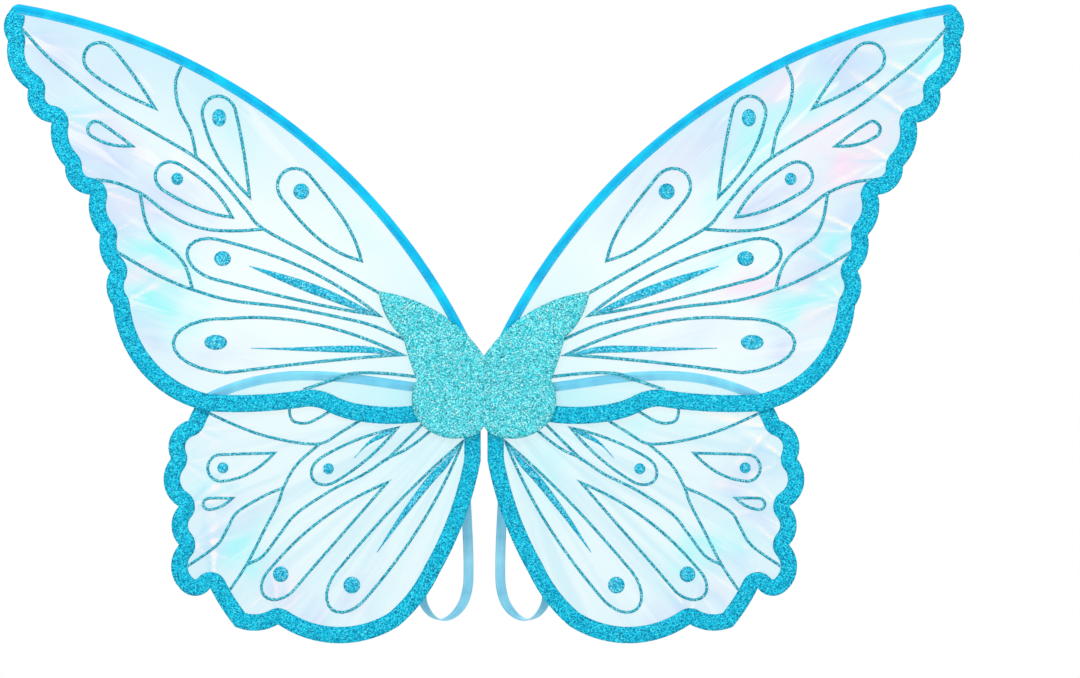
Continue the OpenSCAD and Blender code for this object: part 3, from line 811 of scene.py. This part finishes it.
def stitches(name, centres, frames, across, depth):
    """Thread stitches on both faces of a ribbon, along its path."""
    along = run_along(centres)
    verts, faces = [], []
    for start in np.arange(STITCH_PITCH, along[-1] - STITCH_PITCH, STITCH_PITCH):
        i = min(int(np.searchsorted(along, start)), len(centres) - 2)
        out, deep = frames[i]
        step = centres[i + 1] - centres[i]
        t = step / np.linalg.norm(step)
        at = centres[i] + t * (start - along[i]) + out * across
        for sign in (-1, 1):
            base = len(verts)
            for u, lift in ((0, 0.0), (0.25, STITCH_RISE), (0.75, STITCH_RISE), (1, 0.0)):
                for v in (-STITCH_HALF, STITCH_HALF):
                    verts.append(at + t * (u - 0.5) * STITCH_LENGTH + out * v
                                 + deep * sign * (depth - STITCH_RISE * MM + lift * MM))
                verts.append(at + t * (u - 0.5) * STITCH_LENGTH
                             + deep * sign * (depth + lift * MM))
            for k in range(3):
                a = base + 3 * k
                faces += [(a, a + 3, a + 5, a + 2), (a + 2, a + 5, a + 4, a + 1),
                          (a + 1, a + 4, a + 3, a)]
            faces += [(base, base + 2, base + 1), (base + 9, base + 10, base + 11)]
    return new_mesh(name, verts, faces)


# Wings ------------------------------------------------------------------------------------------


def film(side, wing):
    node = f"{side}_{wing}_film"
    loops = front_loops(node)
    obj = layer_sheet(f"{side}_{wing}_film_sheet", loops, mid_y(node), SHEET_T["film"], side,
                      looks=True)
    dress(obj, FILM[side], f"{side}_wing", "film", node)


BORDER_PUFF, PATCH_PUFF = 0.3 * MM, 0.35 * MM    # how far the fabric's middle stands out
PATCH_OVERLAP = 0.1 * MM                    # of each front half past the centre line
CUT_WITHIN = 2.3 * MM                       # of the centre line, where the halves are cut
NOTCH_WITHIN = 0.3 * MM                     # of it, where the strip's outline has its notches


def border(side, wing, face):
    node = f"{side}_{wing}_border_{face}"
    in_front = face == "front"
    obj = layer_sheet(f"{side}_{wing}_border_{face}_fabric", front_loops(node), mid_y(node),
                      SHEET_T["border"], side, spacing=2.0 * MM, roll=2.2 * MM,
                      puff=BORDER_PUFF if in_front else 0,
                      back_puff=0 if in_front else BORDER_PUFF)
    return dress(obj, BORDER, f"{side}_wing", "glitter_border", node)


PRINT_OUT = 0.1 * MM                        # how far forward of its CAD place the print lies


def glitter_print(side, wing, kind, mat, slot_name):
    node = f"{side}_{wing}_{kind}"
    obj = layer_sheet(f"{side}_{wing}_{kind}_print", front_loops(node), mid_y(node) - PRINT_OUT,
                      SHEET_T["print"], side, spacing=3 * MM, edge_step=1.2 * MM)
    return dress(obj, mat, f"{side}_wing", slot_name, node)


def to_middle(loop, x):
    """The outline of half a patch carried on to the centre line, as the strip between runs."""
    strip = outline("patch_spine")
    middle = strip[np.abs(strip[:, 0]) < NOTCH_WITHIN, 1]
    at_cut = np.abs(loop[:, 0]) < CUT_WITHIN
    first = np.flatnonzero(at_cut & np.roll(at_cut, -1))[0]    # where the straight cut starts
    ends = [min(middle), max(middle)]
    if loop[first, 1] > 0:
        ends = ends[::-1]
    return np.insert(loop, first + 1, [(x, z) for z in ends], axis=0)


def patch(side, face):
    node = f"{side}_patch_{face}"
    loop = outline(node)
    in_front = face == "front"
    centre_x = -SIDES[side] * PATCH_OVERLAP
    if in_front:                            # the two front halves just overlap in the middle
        loop = to_middle(loop, centre_x)
    obj = layer_sheet(f"{side}_patch_{face}_fabric", [loop], mid_y(node), SHEET_T["patch"], side,
                      spacing=2.2 * MM, roll=1.6 * MM, puff=PATCH_PUFF if in_front else 0,
                      back_puff=0 if in_front else PATCH_PUFF,
                      open_edge=centre_x if in_front else None)
    obj.data.materials.append(PATCH)
    stands = [node] + (["patch_spine"] if node == "left_patch_front" else [])
    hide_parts(*stands)
    if in_front:
        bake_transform(obj)
    else:
        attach(obj, f"{side}_wing")


# Arm loops --------------------------------------------------------------------------------------

# The left loop's route from part.scad: X, Y and Z in millimetres, and the twist in degrees
IN_Y, OUT_Y = -6.5, -7.4
LOOP_ROUTE = [
    (-7, IN_Y, -14, 0), (-7, IN_Y, -20, 0), (-7.5, -6, -28, 0), (-9, -4, -42, 0),
    (-11, -2, -60, 0), (-10.5, -1, -76, 0), (-9.8, 0, -92, 0), (-9.5, 0, -106, 0),
    (-10, 0, -118, 8), (-13, 0, -128, 25), (-19, 0, -135, 55), (-26, 0, -137.5, 90),
    (-32.5, -1, -134, 125), (-37, -2, -126, 150), (-36.5, -3, -116, 168),
    (-30.5, -4, -104, 178), (-22.5, -5, -89, 180), (-15, -6, -72, 180),
    (-10, -7, -54, 180), (-7.5, OUT_Y, -36, 180), (-7, OUT_Y, -24, 180), (-7, OUT_Y, -14, 180)]
ELASTIC_W, ELASTIC_T = 6 * MM, 0.8 * MM
RIBS, RIB_DEPTH = 5, 0.16                   # on each face, and their depth over the thickness
ELASTIC_STEPS = 20                          # across the width


def smooth(p, n):
    """A smooth curve through the points p, with n steps between neighbours."""
    p = np.array(p, float)
    p = np.vstack([2 * p[0] - p[1], p, 2 * p[-1] - p[-2]])
    out = []
    for a, b, c, d in zip(p, p[1:], p[2:], p[3:]):
        for k in range(n):
            t = k / n
            out.append(0.5 * (2 * b + (c - a) * t + (2 * a - 5 * b + 4 * c - d) * t * t
                              + (3 * b - a - 3 * c + d) * t ** 3))
    return np.array(out + [p[-2]])


def arm_loop(side):
    """Flat elastic with soft ribs along each face."""
    node = f"{side}_arm_loop"
    s = SIDES[side]
    route = smooth(LOOP_ROUTE, 5)
    path = route[:, :3] * [-s * MM, MM, MM]
    d = np.gradient(path, axis=0)
    t = d / np.linalg.norm(d, axis=1)[:, None]
    frames = []
    for k in range(len(path)):
        flat = np.cross([0, 1.0, 0], t[k])
        across = flat / np.linalg.norm(flat)
        deep = np.cross(t[k], across)
        a = math.radians(route[k, 3]) * -s
        wide = across * math.cos(a) + deep * math.sin(a)
        frames.append((wide, np.cross(t[k], wide)))
    xs = np.linspace(-ELASTIC_W / 2, ELASTIC_W / 2, ELASTIC_STEPS + 1)
    ribs = 1 - RIB_DEPTH + RIB_DEPTH * np.cos(2 * math.pi * RIBS * xs / ELASTIC_W)
    thick = (ELASTIC_T / 2) * ribs
    thick[[0, -1]] *= 0.5                   # the two edges are rounded off
    profile = list(zip(xs, thick)) + list(zip(xs[::-1], -thick[::-1]))
    obj = tube(f"{side}_arm_loop_elastic", path, frames, profile[::-1])
    dress(obj, ELASTIC, "spine", "elastic", node)


TACK_TURNS = 9                              # the zigzag's corners, its ends among them
TACK_R, TACK_SIDES = 0.22 * MM, 8           # of its thread
TACK_OUT = 0.02 * MM                        # how far out of its CAD place it lies


def loop_tack(side):
    """Zigzag stitches over the two ends of the elastic."""
    node = f"{side}_arm_loop_tack"
    lo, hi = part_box(node)
    xs = np.linspace(lo.x, hi.x, TACK_TURNS)
    path = np.array([(x, lo.y - TACK_OUT, (lo.z, hi.z)[k % 2]) for k, x in enumerate(xs)])
    frames = [(np.array([0, 0, 1.0]), np.array([0, 1.0, 0]))] * TACK_TURNS
    turns = np.linspace(0, 2 * math.pi, TACK_SIDES + 1)[:-1]
    ring = [(TACK_R * math.cos(a), TACK_R * math.sin(a)) for a in turns]
    obj = tube(f"{side}_arm_loop_zigzag", path, frames, ring)
    dress(obj, THREAD, "spine", "thread", node)


# Back pad ---------------------------------------------------------------------------------------

PAD_ROLL = 7 * MM                           # from the rim, over which the cushion rises
QUILT_X, QUILT_WIDTH = 12 * MM, 1.3 * MM    # where the two lines of quilting run
QUILT_DEPTH = 0.28                          # over the cushion's height
SEAM_SHARE = 0.09                           # its least height over its greatest


def cushion(node, name):
    """Crowned faces that meet in a seam round the rim, with quilting."""
    lo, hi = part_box(node)
    loop = outline(node)
    flat, faces = fill([loop], 1.6 * MM, 1.5 * MM)
    rim_d = nearest_edge(flat, [loop])
    half = (hi.y - lo.y) / 2
    t = np.clip(rim_d / PAD_ROLL, 0, 1)
    crown = np.sqrt(1 - (1 - t) ** 2)
    lines = np.minimum(np.abs(flat[:, 0] - QUILT_X), np.abs(flat[:, 0] + QUILT_X))
    quilt = QUILT_DEPTH * np.exp(-(lines / QUILT_WIDTH) ** 2)
    rise = half * np.maximum(crown - quilt * crown, SEAM_SHARE)
    y0 = (lo.y + hi.y) / 2
    front = np.column_stack([flat[:, 0], y0 - rise, flat[:, 1]])
    back = np.column_stack([flat[:, 0], y0 + rise, flat[:, 1]])
    return two_faced(name, front, back, faces)


def back_pad():
    """A thin stuffed pad and the foam in it."""
    cover = cushion("back_pad_cover", "back_pad_cushion")
    dress(cover, PAD, "spine", "pad_fabric", "back_pad_cover")
    foam = cushion("back_pad_foam", "back_pad_filling")
    dress(foam, FOAM, "spine", "foam", "back_pad_foam")


# Assembly ---------------------------------------------------------------------------------------

for side in SIDES:
    for wing in ("forewing", "hindwing"):
        on_film = [border(side, wing, "front"), border(side, wing, "back"),
                   glitter_print(side, wing, "veins", VEIN, "vein_glitter"),
                   glitter_print(side, wing, "spots", SPOT, "spot_glitter")]
        on_film += ribbon(side, wing)
        film(side, wing)
        repaint(f"{side}_{wing}_wire", WIRE)
        repaint(f"{side}_{wing}_wire_caps", CAP)
    patch(side, "front")
    patch(side, "back")
    repaint(f"{side}_wing_tack", THREAD)
    arm_loop(side)
    loop_tack(side)
back_pad()
repaint("spine_stay", STAY)


# Stage ------------------------------------------------------------------------------------------

def stage_plane(name, size, place, colour):
    mesh = bpy.data.meshes.new(name)
    h = size / 2
    mesh.from_pydata([(-h, -h, 0), (h, -h, 0), (h, h, 0), (-h, h, 0)], [], [(0, 1, 2, 3)])
    obj = bpy.data.objects.new(name, mesh)
    bpy.context.scene.collection.objects.link(obj)
    obj.location = place
    m = Nodes(name)
    m.set(Base_Color=colour, Roughness=0.9)
    obj.data.materials.append(m.mat)


FLOOR_WIDTH, FLOOR_DROP = 20, 1             # metres; the drop is from the lowest CAD point
stage_plane("floor", FLOOR_WIDTH, (0, -1, cad_lo.z - FLOOR_DROP), grey(0.9))


def area_light(name, place, aim, size, power):
    data = bpy.data.lights.new(name, "AREA")
    data.size = size
    data.energy = power
    obj = bpy.data.objects.new(name, data)
    bpy.context.scene.collection.objects.link(obj)
    obj.location = place
    obj.rotation_euler = (Vector(aim) - Vector(place)).to_track_quat("-Z", "Y").to_euler()


centre = (cad_lo + cad_hi) / 2
area_light("key", (-0.7, -1.1, 1.0), centre, 0.5, 8)
area_light("fill", (1.1, -1.2, 0.1), centre, 0.8, 4)
area_light("rear", (0.3, 1.2, 0.8), centre, 0.9, 6)

# White studio air: the camera sees it pure white, and the object is lit a little less
LIT_SHARE = 0.81
scene = bpy.context.scene
world = bpy.data.worlds.new("studio")
scene.world = world
world.use_nodes = True
air = world.node_tree
seen = air.nodes.new("ShaderNodeLightPath").outputs["Is Camera Ray"]
power = air.nodes.new("ShaderNodeMapRange")
power.inputs["To Min"].default_value = LIT_SHARE
power.inputs["To Max"].default_value = 1.0
air.links.new(seen, power.inputs["Value"])
air.links.new(power.outputs[0], air.nodes["Background"].inputs["Strength"])
air.nodes["Background"].inputs["Color"].default_value = grey(1.0)
scene.view_settings.view_transform = "Standard"

# The photograph's frame: the wings' centre line stands left of the middle of the picture
PHOTO_W, PHOTO_H = 1080, 678
SPAN_SHARE = 0.8903                             # of the picture's width, tip to tip
CENTRE_LEFT, CENTRE_DOWN = 0.0519, 0.0767       # of the picture's width and height
FAR = 2.2                                       # the camera's distance in metres
cam_data = bpy.data.cameras.new("camera")
cam = bpy.data.objects.new("camera", cam_data)
scene.collection.objects.link(cam)
scene.camera = cam
view_w = (cad_hi.x - cad_lo.x) / SPAN_SHARE
cam_data.lens = cam_data.sensor_width * FAR / view_w
cam.location = (CENTRE_LEFT * view_w, cad_lo.y - FAR,
                CENTRE_DOWN * view_w * PHOTO_H / PHOTO_W)
cam.rotation_euler = (math.pi / 2, 0, 0)
